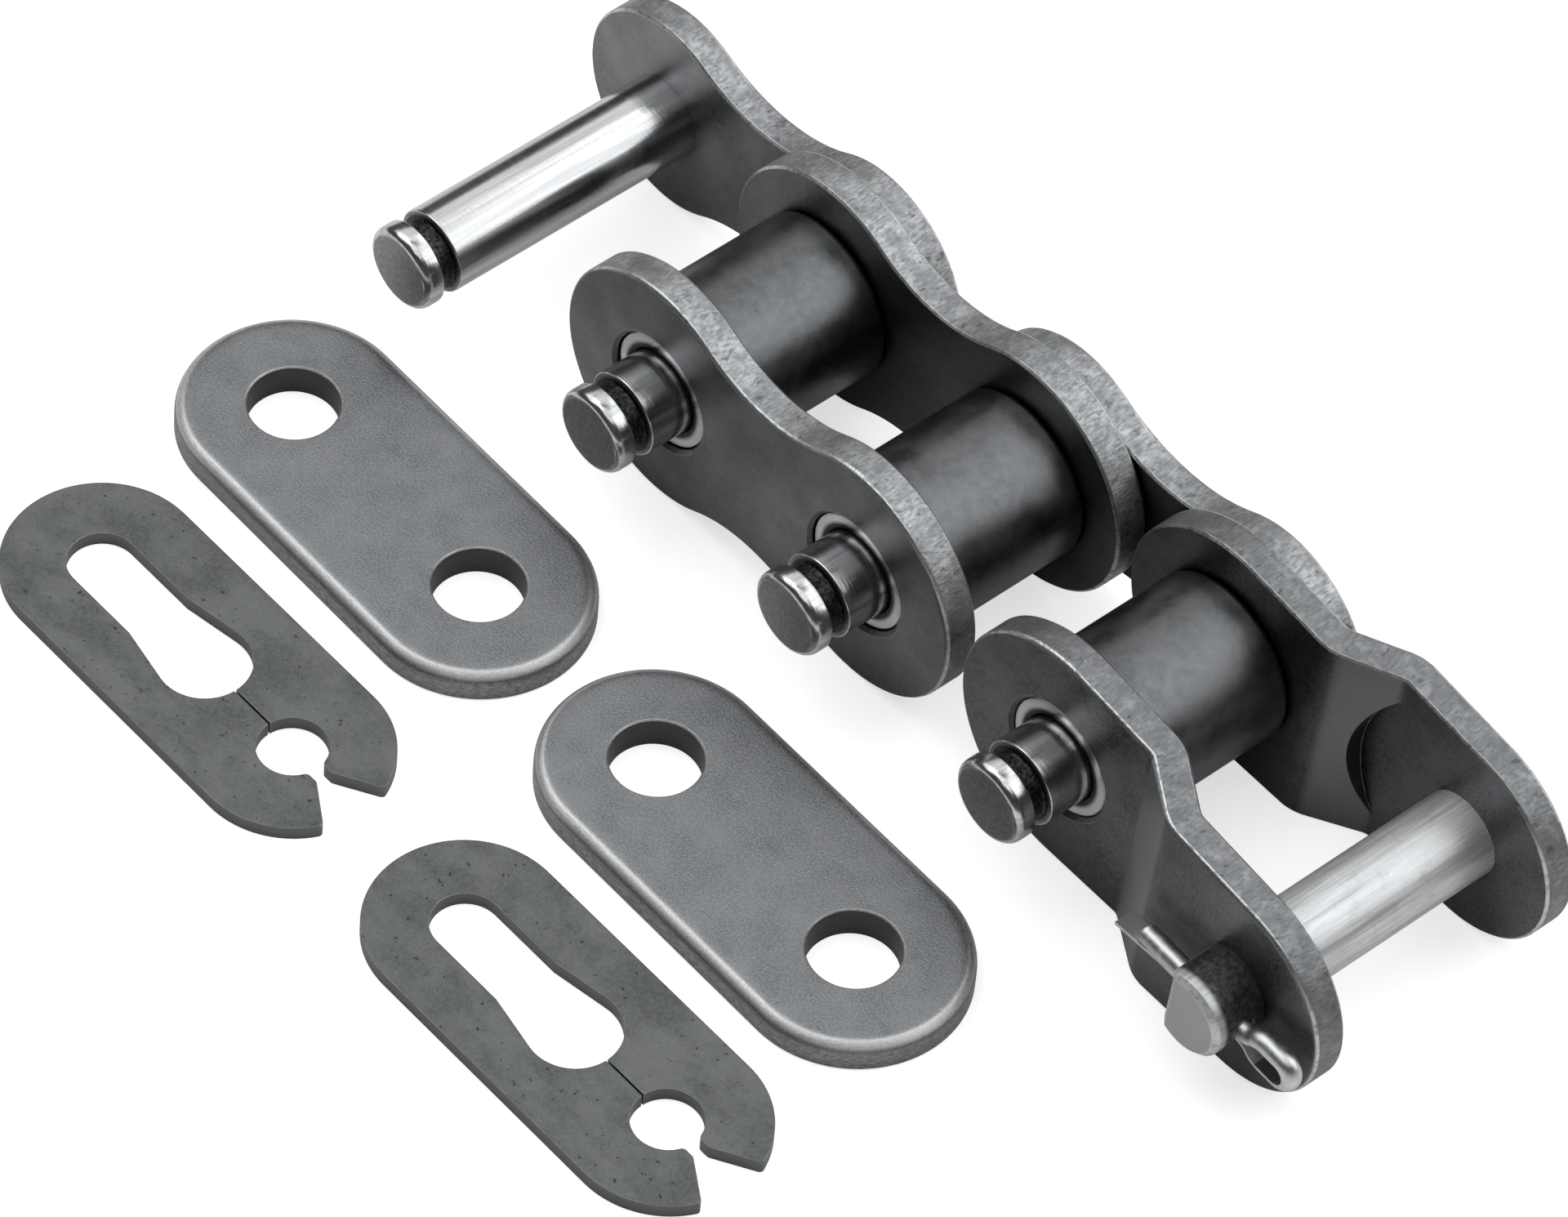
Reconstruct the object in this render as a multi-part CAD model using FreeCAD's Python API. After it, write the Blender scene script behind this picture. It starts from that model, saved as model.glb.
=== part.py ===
import FreeCAD, Part
import math
import os

# Roller chain connecting link set for a 25.4 mm pitch chain, in millimetres.
# X runs along the chain, Z is up, and the fronts of the pins point along -Y.
# The origin is on the axis of the free pin, in the middle plane of the chain.
# The set lies as it rests: the inner link and the middle of the chain are level,
# and the two narrower ends droop until they touch the same flat surface.

V = FreeCAD.Vector

# Sizes of the chain
PITCH = 25.4
INNER_WIDTH = 15.8
ROLLER_D = 15.88
ROLLER_WALL = 2.23
BUSH_WALL = 1.64

# Link plates
INNER_PLATE_T = 3.25
INNER_END_REST = 3.96
INNER_WAIST_HALF = 8.7
OUTER_PLATE_T = 3.1
OUTER_END_REST = 2.26
OUTER_WAIST_HALF = 7.05
PLATE_EDGE_R = 0.45
PLATE_BURR = 0.22
BUSH_HOLE_CHAMFER = 0.35

# Running clearances
SIDE_PLAY = 0.18
PIN_PLAY = 0.04
ROLLER_PLAY = 0.06
ROLLER_SIDE_PLAY = 0.15

# Bushes and rollers
BUSH_RECESS = 0.45
BUSH_END_ROUND = 0.3
BUSH_MOUTH = 0.4
ROLLER_EDGE = 0.5
ROLLER_MOUTH = 0.3

# Clip pins
CLIP_GROOVE_DEPTH = 0.92
CLIP_GROOVE_W = 1.75
CLIP_GROOVE_GAP = 0.6
PIN_HEAD_L = 1.95
PIN_CHAMFER = 0.6
GROOVE_CHAMFER = 0.25
RIVET_L = 0.95
RIVET_SPREAD = 0.55
RIVET_DOME = 0.5
PIN_SHOULDER = 0.3

# Cranked plates of the offset link
CRANK_T = 3.1
CRANK_ANGLE = 31.0
CRANK_OVERLAP = 0.6
CRANK_BEND_R = 3.0
CRANK_RELIEF = 0.2

# Offset pin and its split pin
OFFSET_PIN_OUT = 5.3
OFFSET_PIN_CHAMFER = 0.5
OFFSET_PIN_FLAT_DEPTH = 1.57
OFFSET_PIN_FLAT_BEVEL = 0.8
OFFSET_HEAD_L = 1.3
OFFSET_HEAD_STEP = 0.93
OFFSET_HEAD_CHAMFER = 0.3
SPLIT_PIN_R = 1.0
SPLIT_PIN_PLAY = 0.1
SPLIT_PIN_STANDOFF = 2.2
SPLIT_NECK_X = 4.2
SPLIT_NECK_R = 2.0
SPLIT_EYE_R = 1.05
SPLIT_EYE_END_X = 10.6
SPLIT_UPPER_LEG = 8.3
SPLIT_LOWER_LEG = 10.6
SPLIT_LEG_TIP = 0.6
SPLIT_LEG_BEND_X = 5.0
SPLIT_LEG_BEND = 7.0
SPLIT_LEG_BEND_R = 6.0

# Loose cover plates
COVER_T = 3.15
COVER_HOLE_PLAY = 0.08
COVER_HOLE_CHAMFER = 0.15
COVER_EDGE_R = 1.2
COVER_PLACES = ((14.24, -31.46, -0.86), (63.28, -32.08, -0.40))

# Loose spring clips
CLIP_T = 1.4
CLIP_ARM_W = 4.6
CLIP_SEAT_PLAY = 0.05
CLIP_STRETCH = 0.2
CLIP_EYE_PLAY = 0.18
CLIP_WIDE_X = 13.8
CLIP_TAPER_X = 7.6
CLIP_SLIT_W = 0.2
CLIP_NECK_HALF = 0.8
CLIP_NECK_X = 4.2
CLIP_FLARE = 32.0
CLIP_LIP_R = 0.5
CLIP_TIP_R = 0.4
CLIP_PLACES = ((4.39, -54.2, 0.0), (53.34, -54.65, 0.0))

# Places worked out from the sizes
ROLLER_R = ROLLER_D / 2
BUSH_R = ROLLER_R - ROLLER_WALL - ROLLER_PLAY
BUSH_BORE_R = BUSH_R - BUSH_WALL
PIN_R = BUSH_BORE_R - PIN_PLAY
INNER_END_R = ROLLER_R + INNER_END_REST
OUTER_END_R = ROLLER_R + OUTER_END_REST
INNER_FACE = INNER_WIDTH / 2
INNER_OUT = INNER_FACE + INNER_PLATE_T
OUTER_IN = INNER_OUT + SIDE_PLAY
OUTER_OUT = OUTER_IN + OUTER_PLATE_T
OFFSET_OUT = OUTER_IN + CRANK_T
CLIP_GROOVE_R = PIN_R - CLIP_GROOVE_DEPTH
CLIP_SEAT_R = CLIP_GROOVE_R + CLIP_SEAT_PLAY
CLIP_WIDE_R = PIN_R + CLIP_EYE_PLAY
CLIP_END_R = CLIP_WIDE_R + CLIP_ARM_W
CLIP_SPAN = PITCH + CLIP_STRETCH
OFFSET_HEAD_R = PIN_R + OFFSET_HEAD_STEP
OFFSET_PIN_FLAT = PIN_R - OFFSET_PIN_FLAT_DEPTH

# The end of a drooping link touches the ground when its pin is this much lower
RISE = INNER_END_R - OUTER_END_R
DROOP = math.degrees(math.asin(RISE / PITCH))
REACH = math.sqrt(PITCH ** 2 - RISE ** 2)
GROUND = -OUTER_END_R

PIN_A = V(0, 0, 0)
PIN_B = V(REACH, 0, RISE)
PIN_C = PIN_B + V(PITCH, 0, 0)
PIN_D_AT = PIN_C + V(PITCH, 0, 0)

FAR = 50.0


def side_point(x, z):
    """A point of a plate outline, seen from the side of the chain."""
    return V(x, 0, z)


def arc(start, middle, end):
    return Part.Arc(start, middle, end).toShape()


def line(start, end):
    return Part.LineSegment(start, end).toShape()


def prism(edges, along):
    """A solid from one closed outline, pushed along a vector."""
    return Part.Face(Part.Wire(edges)).extrude(along)


def cylinder_y(radius, low, high, x=0.0, z=0.0):
    return Part.makeCylinder(radius, high - low, V(x, low, z), V(0, 1, 0))


def cone_y(radius_low, radius_high, low, high, x=0.0, z=0.0):
    return Part.makeCone(radius_low, radius_high, high - low, V(x, low, z), V(0, 1, 0))


def turned(points):
    """A solid of revolution about Y from (radius, y) points."""
    corners = [V(radius, y, 0) for radius, y in points]
    wire = Part.makePolygon(corners + corners[:1])
    return Part.Face(wire).revolve(V(0, 0, 0), V(0, 1, 0), 360)


def edges_at(shape, test):
    """The edges whose every point passes the test, sampled at five places."""
    found = []
    for edge in shape.Edges:
        spread = edge.discretize(5)
        if all(test(point) for point in spread):
            found.append(edge)
    return found


def placed(shape, at, tilt=0.0):
    """A copy turned about Y by the tilt, then carried to a pin axis."""
    copy = shape.copy()
    copy.rotate(V(0, 0, 0), V(0, 1, 0), tilt)
    copy.translate(at)
    return copy


def mirrored(shape):
    """The same piece on the other side of the chain's middle plane."""
    return shape.mirror(V(0, 0, 0), V(0, 1, 0))


def waisted_outline(end_r, waist_half):
    """Two round ends joined by two hollow arcs that meet them smoothly."""
    half = PITCH / 2
    hollow_r = (half ** 2 + waist_half ** 2 - end_r ** 2) / (2 * (end_r - waist_half))
    hollow_z = waist_half + hollow_r
    share = end_r / (end_r + hollow_r)
    meet_x = half * share
    meet_z = hollow_z * share
    left_low = side_point(meet_x, -meet_z)
    left_high = side_point(meet_x, meet_z)
    right_high = side_point(PITCH - meet_x, meet_z)
    right_low = side_point(PITCH - meet_x, -meet_z)
    return [
        arc(left_low, side_point(-end_r, 0), left_high),
        arc(left_high, side_point(half, waist_half), right_high),
        arc(right_high, side_point(PITCH + end_r, 0), right_low),
        arc(right_low, side_point(half, -waist_half), left_low),
    ]


def tapered_outline(first_r, second_r, span=PITCH):
    """Two round ends joined by the two straight lines that touch both."""
    lean = math.asin((first_r - second_r) / span)
    first_x = first_r * math.sin(lean)
    first_z = first_r * math.cos(lean)
    second_x = span + second_r * math.sin(lean)
    second_z = second_r * math.cos(lean)
    return [
        arc(side_point(first_x, -first_z), side_point(-first_r, 0), side_point(first_x, first_z)),
        line(side_point(first_x, first_z), side_point(second_x, second_z)),
        arc(side_point(second_x, second_z), side_point(span + second_r, 0),
            side_point(second_x, -second_z)),
        line(side_point(second_x, -second_z), side_point(first_x, -first_z)),
    ]


def plate_blank(outline, low, high, rounded_y, edge_r):
    """A flat plate: the punch rounds one rim over, and the other has its burr taken off."""
    blank = prism(outline, V(0, high - low, 0))
    blank.translate(V(0, low, 0))
    rim = edges_at(blank, lambda point: abs(point.y - rounded_y) < 1e-4)
    blank = blank.makeFillet(edge_r, rim)
    burr_y = low + high - rounded_y
    rim = edges_at(blank, lambda point: abs(point.y - burr_y) < 1e-4)
    return blank.makeChamfer(PLATE_BURR, rim)


def inner_plate():
    """Back plate of the inner link, bored for two press-fitted bushes."""
    outline = waisted_outline(INNER_END_R, INNER_WAIST_HALF)
    plate = plate_blank(outline, INNER_FACE, INNER_OUT, INNER_OUT, PLATE_EDGE_R)
    for x in (0, PITCH):
        plate = plate.cut(cylinder_y(BUSH_R, 0, FAR, x))
        mouth = cone_y(BUSH_R, BUSH_R + BUSH_HOLE_CHAMFER,
                       INNER_OUT - BUSH_HOLE_CHAMFER, INNER_OUT, x)
        plate = plate.cut(mouth)
    return plate


def outer_plate():
    """Back plate of a connecting link, with two holes that grip the pins."""
    outline = waisted_outline(OUTER_END_R, OUTER_WAIST_HALF)
    plate = plate_blank(outline, OUTER_IN, OUTER_OUT, OUTER_OUT, PLATE_EDGE_R)
    for x in (0, PITCH):
        plate = plate.cut(cylinder_y(PIN_R - PIN_SHOULDER, 0, FAR, x))
    return plate


def bush():
    """Turned bush, sunk a little below the faces of the plates it is pressed in."""
    end = INNER_OUT - BUSH_RECESS
    return turned([
        (BUSH_BORE_R + BUSH_MOUTH, -end),
        (BUSH_R - BUSH_END_ROUND, -end),
        (BUSH_R, -end + BUSH_END_ROUND),
        (BUSH_R, end - BUSH_END_ROUND),
        (BUSH_R - BUSH_END_ROUND, end),
        (BUSH_BORE_R + BUSH_MOUTH, end),
        (BUSH_BORE_R, end - BUSH_MOUTH),
        (BUSH_BORE_R, -end + BUSH_MOUTH),
    ])


def roller():
    """Loose roller that turns on its bush between the inner plates."""
    half = INNER_FACE - ROLLER_SIDE_PLAY
    bore_r = BUSH_R + ROLLER_PLAY
    return turned([
        (bore_r + ROLLER_MOUTH, -half),
        (ROLLER_R - ROLLER_EDGE, -half),
        (ROLLER_R, -half + ROLLER_EDGE),
        (ROLLER_R, half - ROLLER_EDGE),
        (ROLLER_R - ROLLER_EDGE, half),
        (bore_r + ROLLER_MOUTH, half),
        (bore_r, half - ROLLER_MOUTH),
        (bore_r, -half + ROLLER_MOUTH),
    ])


def clip_pin():
    """Connecting pin, grooved for its clip in front.

    At the back it is shouldered down to a tenon that is pressed in the plate and riveted.
    """
    groove_back = -(OUTER_IN + COVER_T + CLIP_GROOVE_GAP)
    groove_front = groove_back - CLIP_GROOVE_W
    front = groove_front - PIN_HEAD_L
    back = OUTER_OUT + RIVET_L
    tenon_r = PIN_R - PIN_SHOULDER
    return turned([
        (0, front),
        (PIN_R - PIN_CHAMFER, front),
        (PIN_R, front + PIN_CHAMFER),
        (PIN_R, groove_front),
        (CLIP_GROOVE_R, groove_front),
        (CLIP_GROOVE_R, groove_back),
        (PIN_R - GROOVE_CHAMFER, groove_back),
        (PIN_R, groove_back + GROOVE_CHAMFER),
        (PIN_R, OUTER_IN),
        (tenon_r, OUTER_IN),
        (tenon_r, OUTER_OUT),
        (tenon_r + RIVET_SPREAD, OUTER_OUT),
        (tenon_r + RIVET_SPREAD / 2, back - RIVET_DOME),
        (tenon_r, back),
        (0, back),
    ])


def crank_side(shift):
    """One face of the cranked plate as edges, seen from above, before closing."""
    half_angle = math.radians(CRANK_ANGLE / 2)
    rise = OUTER_IN - INNER_FACE
    run = rise / math.tan(math.radians(CRANK_ANGLE))
    lean = math.tan(half_angle)
    first_x = OUTER_END_R - CRANK_OVERLAP + CRANK_T / 2 * lean - shift * lean
    second_x = first_x + run
    first_y = INNER_FACE + CRANK_T / 2 + shift
    second_y = first_y + rise
    slope = V(math.cos(2 * half_angle), math.sin(2 * half_angle), 0)
    edges = []
    start = V(-FAR, first_y, 0)
    corners = ((first_x, first_y, V(1, 0, 0), slope, CRANK_BEND_R - shift, 1),
               (second_x, second_y, slope, V(1, 0, 0), CRANK_BEND_R + shift, -1))
    for x, y, before, after, bend_r, side in corners:
        corner = V(x, y, 0)
        back_off = bend_r * lean
        enter = corner - before * back_off
        leave = corner + after * back_off
        centre = enter + V(-before.y, before.x, 0) * (bend_r * side)
        middle = centre + (corner - centre).normalize() * bend_r
        edges.append(line(start, enter))
        edges.append(arc(enter, middle, leave))
        start = leave
    edges.append(line(start, V(FAR + PITCH, second_y, 0)))
    return edges


def rim_of(plate, side):
    """The stamped edge all round one side, without the lines of the bends."""
    rim = []
    for face in plate.Faces:
        u_low, u_high, v_low, v_high = face.ParameterRange
        outward = face.normalAt((u_low + u_high) / 2, (v_low + v_high) / 2)
        if outward.y * side > 0.5:
            rim += [edge for edge in face.Edges if edge.BoundBox.XLength > 1e-4]
    return rim


def cranked_plate(hole):
    """Back plate of the offset link: narrow end inside, wide end outside.

    The crank is coined away where the round end of the next inner link has to swing.
    """
    inside = crank_side(-CRANK_T / 2)
    outside = crank_side(CRANK_T / 2)
    first = line(outside[0].firstVertex().Point, inside[0].firstVertex().Point)
    last = line(inside[-1].lastVertex().Point, outside[-1].lastVertex().Point)
    ribbon = Part.Wire(Part.__sortEdges__(inside + [last] + outside + [first]))
    slab = Part.Face(ribbon).extrude(V(0, 0, 2 * FAR))
    slab.translate(V(0, 0, -FAR))
    blank = prism(tapered_outline(INNER_END_R, OUTER_END_R), V(0, 2 * FAR, 0))
    plate = blank.common(slab)
    plate = plate.makeFillet(PLATE_EDGE_R, rim_of(plate, 1))
    plate = plate.makeChamfer(PLATE_BURR, rim_of(plate, -1))
    plate = plate.cut(cylinder_y(BUSH_R, 0, FAR))
    narrow_out = INNER_FACE + CRANK_T
    mouth = cone_y(BUSH_R, BUSH_R + BUSH_HOLE_CHAMFER,
                   narrow_out - BUSH_HOLE_CHAMFER, narrow_out)
    plate = plate.cut(mouth)
    relief_r = INNER_END_R + CRANK_RELIEF
    plate = plate.cut(cylinder_y(relief_r, 0, OUTER_IN, PITCH))
    return plate.cut(hole)


def flat_side_cutter(low, high):
    """What is taken off a round pin or left in a round hole to make it D-shaped."""
    width = 4 * PIN_R
    return Part.makeBox(width, high - low, width, V(-OFFSET_PIN_FLAT - width, low, -width / 2))


def offset_pin():
    """Removable pin of the offset link: headed, flat-sided in front, cross-drilled."""
    front = -(OFFSET_OUT + OFFSET_PIN_OUT)
    head = OFFSET_OUT + OFFSET_HEAD_L
    pin = turned([
        (0, front),
        (PIN_R - OFFSET_PIN_CHAMFER, front),
        (PIN_R, front + OFFSET_PIN_CHAMFER),
        (PIN_R, OFFSET_OUT),
        (OFFSET_HEAD_R, OFFSET_OUT),
        (OFFSET_HEAD_R, head - OFFSET_HEAD_CHAMFER),
        (OFFSET_HEAD_R - OFFSET_HEAD_CHAMFER, head),
        (0, head),
    ])
    pin = pin.cut(flat_side_cutter(-FAR, -OUTER_IN))
    flat_end = edges_at(pin, lambda point: point.x < 1e-4 - OFFSET_PIN_FLAT
                        and point.y < front + 1e-4)
    pin = pin.makeChamfer(OFFSET_PIN_FLAT_BEVEL, flat_end)
    cross_hole = Part.makeCylinder(SPLIT_PIN_R + SPLIT_PIN_PLAY, 2 * FAR,
                                   V(-FAR, -(OFFSET_OUT + SPLIT_PIN_STANDOFF), 0), V(1, 0, 0))
    return pin.cut(cross_hole)


def bent_wire(x, moves):
    """Half-round wire laid along straight and turned stretches in the X-Z plane.

    Each move is a length and a turn in degrees to the left. A turned stretch has
    its path radius in place of the length. The wire's flat face lies on the path
    and its round side is on the left.
    """
    at = side_point(x, 0)
    heading = 0.0
    wire = None
    for size, turn in moves:
        along = side_point(math.cos(heading), math.sin(heading))
        left = side_point(-math.sin(heading), math.cos(heading))
        across = V(0, SPLIT_PIN_R, 0)
        round_edge = arc(at - across, at + left * SPLIT_PIN_R, at + across)
        section = Part.Face(Part.Wire([round_edge, line(at + across, at - across)]))
        if turn:
            centre = at + left * math.copysign(size, turn)
            stretch = section.revolve(centre, V(0, -1, 0), turn)
            end = Part.Vertex(at)
            end.rotate(centre, V(0, -1, 0), turn)
            at = end.Point
            heading += math.radians(turn)
        else:
            stretch = section.extrude(along * size)
            at = at + along * size
        wire = wire.fuse(stretch) if wire else stretch
    return wire.removeSplitter()


def split_pin():
    """Split pin bent from half-round wire, its eye in line with the plate."""
    swing = math.degrees(math.acos(1 - SPLIT_EYE_R / (2 * SPLIT_NECK_R)))
    neck_end_x = SPLIT_NECK_X + 2 * SPLIT_NECK_R * math.sin(math.radians(swing))
    eye_x = SPLIT_EYE_END_X - SPLIT_EYE_R - SPLIT_PIN_R
    eye_side = eye_x - neck_end_x
    bend_l = SPLIT_LEG_BEND_R * math.radians(SPLIT_LEG_BEND)
    bent_l = SPLIT_LOWER_LEG - SPLIT_LEG_BEND_X - bend_l
    wire = bent_wire(-SPLIT_UPPER_LEG, (
        (SPLIT_UPPER_LEG + SPLIT_NECK_X, 0),
        (SPLIT_NECK_R, swing),
        (SPLIT_NECK_R, -swing),
        (eye_side, 0),
        (SPLIT_EYE_R, -180),
        (eye_side, 0),
        (SPLIT_NECK_R, -swing),
        (SPLIT_NECK_R, swing),
        (SPLIT_NECK_X + SPLIT_LEG_BEND_X, 0),
        (SPLIT_LEG_BEND_R, SPLIT_LEG_BEND),
        (bent_l, 0),
    ))
    tip = edges_at(wire, lambda point: abs(point.x + SPLIT_UPPER_LEG) < 1e-4)
    round_tip = [edge for edge in tip if edge.Curve.TypeId == "Part::GeomCircle"]
    wire = wire.makeFillet(SPLIT_LEG_TIP, round_tip)
    wire.translate(V(0, -(OFFSET_OUT + SPLIT_PIN_STANDOFF), 0))
    return wire


def lying(shape, thickness, x, y, turn):
    """A flat piece, built with its top face at y = 0, laid on the ground."""
    copy = shape.copy()
    copy.rotate(V(0, 0, 0), V(1, 0, 0), -90)
    copy.rotate(V(0, 0, 0), V(0, 0, 1), turn)
    copy.translate(V(x, y, GROUND + thickness))
    return copy


def cover_plate():
    """Removable front plate with straight sides, a slip fit over two pins."""
    hole_r = PIN_R + COVER_HOLE_PLAY
    plate = plate_blank(tapered_outline(OUTER_END_R, OUTER_END_R), 0, COVER_T, 0, COVER_EDGE_R)
    for x in (0, PITCH):
        plate = plate.cut(cylinder_y(hole_r, 0, COVER_T, x))
        plate = plate.cut(cone_y(hole_r + COVER_HOLE_CHAMFER, hole_r, 0, COVER_HOLE_CHAMFER, x))
    plate.translate(V(-PITCH / 2, 0, 0))
    return plate


def clip_keyhole():
    """Slot that drops over a pin head, then narrows to the seat in its groove."""
    seat_r = CLIP_SEAT_R
    slope = math.atan2(CLIP_WIDE_R - seat_r, CLIP_WIDE_X - CLIP_TAPER_X)
    meet_x = CLIP_WIDE_X - CLIP_WIDE_R * math.sin(slope)
    meet_z = CLIP_WIDE_R * math.cos(slope)
    return prism([
        arc(side_point(0, -seat_r), side_point(-seat_r, 0), side_point(0, seat_r)),
        line(side_point(0, seat_r), side_point(CLIP_TAPER_X, seat_r)),
        line(side_point(CLIP_TAPER_X, seat_r), side_point(meet_x, meet_z)),
        arc(side_point(meet_x, meet_z), side_point(CLIP_WIDE_X + CLIP_WIDE_R, 0),
            side_point(meet_x, -meet_z)),
        line(side_point(meet_x, -meet_z), side_point(CLIP_TAPER_X, -seat_r)),
        line(side_point(CLIP_TAPER_X, -seat_r), side_point(0, -seat_r)),
    ], V(0, CLIP_T, 0))


def clip_mouth():
    """Open seat for the second pin: round, with a neck that flares to the tips."""
    seat = cylinder_y(CLIP_SEAT_R, 0, CLIP_T, CLIP_SPAN)
    reach = 2 * CLIP_END_R
    neck_x = CLIP_SPAN + CLIP_NECK_X
    flare_z = CLIP_NECK_HALF + (reach - CLIP_NECK_X) * math.tan(math.radians(CLIP_FLARE))
    corners = [
        side_point(CLIP_SPAN, -CLIP_NECK_HALF),
        side_point(CLIP_SPAN, CLIP_NECK_HALF),
        side_point(neck_x, CLIP_NECK_HALF),
        side_point(CLIP_SPAN + reach, flare_z),
        side_point(CLIP_SPAN + reach, -flare_z),
        side_point(neck_x, -CLIP_NECK_HALF),
    ]
    throat = Part.Face(Part.makePolygon(corners + corners[:1])).extrude(V(0, CLIP_T, 0))
    return seat.fuse(throat)


def upright_edges(clip, from_x, low, high):
    """Straight edges through the clip beyond from_x, this far from its middle line."""
    found = edges_at(clip, lambda point: point.x > from_x and low <= abs(point.z) <= high)
    return [edge for edge in found if edge.BoundBox.YLength > CLIP_T / 2
            and edge.BoundBox.XLength < 1e-4]


def spring_clip():
    """Flat spring clip cut from strip, slit between its keyhole and its open seat."""
    clip = prism(tapered_outline(CLIP_END_R, CLIP_END_R, CLIP_SPAN), V(0, CLIP_T, 0))
    clip = clip.cut(clip_keyhole())
    clip = clip.cut(clip_mouth())
    slit_x = CLIP_WIDE_X
    slit = Part.makeBox(CLIP_SPAN - slit_x, CLIP_T, CLIP_SLIT_W, V(slit_x, 0, -CLIP_SLIT_W / 2))
    clip = clip.cut(slit)

    lips = upright_edges(clip, CLIP_SPAN + CLIP_SEAT_R / 2, 0, 2 * CLIP_NECK_HALF)
    clip = clip.makeFillet(CLIP_LIP_R, lips)
    tips = upright_edges(clip, CLIP_SPAN + CLIP_END_R / 2, 2 * CLIP_NECK_HALF, CLIP_END_R)
    return clip.makeFillet(CLIP_TIP_R, tips)


def build():
    """Every piece by its name, in its place at rest."""
    back_inner = inner_plate()
    back_outer = outer_plate()
    one_bush = bush()
    one_roller = roller()
    one_pin = clip_pin()
    wide_hole = cylinder_y(PIN_R, 0, FAR, PITCH)
    flat_hole = cylinder_y(PIN_R, 0, FAR)
    flat_hole = flat_hole.cut(flat_side_cutter(0, FAR))
    flat_hole.translate(V(PITCH, 0, 0))

    pieces = {
        "link_1_outer_plate": placed(back_outer, PIN_A, -DROOP),
        "link_1_free_pin": placed(one_pin, PIN_A),
        "link_1_seated_pin": placed(one_pin, PIN_B),
        "inner_plate_back": placed(back_inner, PIN_B),
        "inner_plate_front": placed(mirrored(back_inner), PIN_B),
        "link_2_outer_plate": placed(back_outer, PIN_C),
        "link_2_pin_1": placed(one_pin, PIN_C),
        "link_2_pin_2": placed(one_pin, PIN_D_AT),
        "offset_plate_back": placed(cranked_plate(wide_hole), PIN_D_AT, DROOP),
        "offset_plate_front": placed(mirrored(cranked_plate(flat_hole)), PIN_D_AT, DROOP),
    }
    for number, at in enumerate((PIN_B, PIN_C, PIN_D_AT), start=1):
        pieces["bush_%d" % number] = placed(one_bush, at)
        pieces["roller_%d" % number] = placed(one_roller, at)

    for name, piece in (("offset_pin", offset_pin()), ("split_pin", split_pin())):
        piece.translate(V(PITCH, 0, 0))
        pieces[name] = placed(piece, PIN_D_AT, DROOP)

    for number, (x, y, turn) in enumerate(COVER_PLACES, start=1):
        pieces["cover_plate_%d" % number] = lying(cover_plate(), COVER_T, x, y, turn)
    for number, (x, y, turn) in enumerate(CLIP_PLACES, start=1):
        pieces["spring_clip_%d" % number] = lying(spring_clip(), CLIP_T, x, y, turn)
    return pieces


os.makedirs("parts", exist_ok=True)
for name, piece in build().items():
    piece.exportStep("parts/" + name + ".step")
    box = piece.BoundBox
    print("%-20s solids %d valid %s volume %9.2f  x %7.2f %7.2f  y %7.2f %7.2f  z %7.2f %7.2f" % (
        name, len(piece.Solids), piece.isValid(), piece.Volume,
        box.XMin, box.XMax, box.YMin, box.YMax, box.ZMin, box.ZMax))
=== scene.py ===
import math

import bmesh
import bpy
from mathutils import Matrix, Vector


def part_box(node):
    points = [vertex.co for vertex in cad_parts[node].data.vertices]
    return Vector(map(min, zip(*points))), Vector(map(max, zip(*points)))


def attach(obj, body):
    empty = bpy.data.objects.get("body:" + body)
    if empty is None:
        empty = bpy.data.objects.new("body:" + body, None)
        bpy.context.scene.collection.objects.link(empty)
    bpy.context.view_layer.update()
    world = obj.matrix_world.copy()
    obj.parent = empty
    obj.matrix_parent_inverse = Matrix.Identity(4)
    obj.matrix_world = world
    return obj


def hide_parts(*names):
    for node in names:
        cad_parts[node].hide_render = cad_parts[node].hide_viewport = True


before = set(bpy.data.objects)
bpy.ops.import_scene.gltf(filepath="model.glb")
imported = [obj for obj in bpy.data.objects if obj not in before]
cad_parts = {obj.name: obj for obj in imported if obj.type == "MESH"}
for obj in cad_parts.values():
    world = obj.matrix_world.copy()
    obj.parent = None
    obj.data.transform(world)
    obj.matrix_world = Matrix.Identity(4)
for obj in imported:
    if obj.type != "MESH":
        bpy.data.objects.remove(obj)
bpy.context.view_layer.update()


# Inner link plates: punched from hardened strip, with a dark oiled oxide on the faces.
# The punch leaves the sides torn and brighter; the rims are painted bright, partly as
# tumbling wear and partly as a highlight.

# The frame is in metres, and lengths are written in mm.
MM = 0.001


def linear(hex_colour):
    """An sRGB hex colour as the linear colour that a shader takes."""
    channels = [int(hex_colour[i:i + 2], 16) / 255 for i in (0, 2, 4)]
    return tuple(c / 12.92 if c <= 0.04045 else ((c + 0.055) / 1.055) ** 2.4
                 for c in channels) + (1.0,)


def add(tree, kind, inputs=None, output=None, **settings):
    """Adds a node. An input takes a value, or the output socket it is linked to.

    It gives back the node or one of its outputs, so that nodes can be nested.
    """
    node = tree.nodes.new(kind)
    for name, value in settings.items():
        setattr(node, name, value)
    for name, value in (inputs or {}).items():
        if isinstance(value, bpy.types.NodeSocket):
            tree.links.new(value, node.inputs[name])
        elif isinstance(value, str) and node.inputs[name].type == "RGBA":
            node.inputs[name].default_value = linear(value)
        else:
            node.inputs[name].default_value = value
    return node if output is None else node.outputs[output]


def blank(name):
    """A new material with an empty tree."""
    material = bpy.data.materials.new(name)
    material.use_nodes = True
    material.node_tree.nodes.clear()
    return material, material.node_tree


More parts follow.
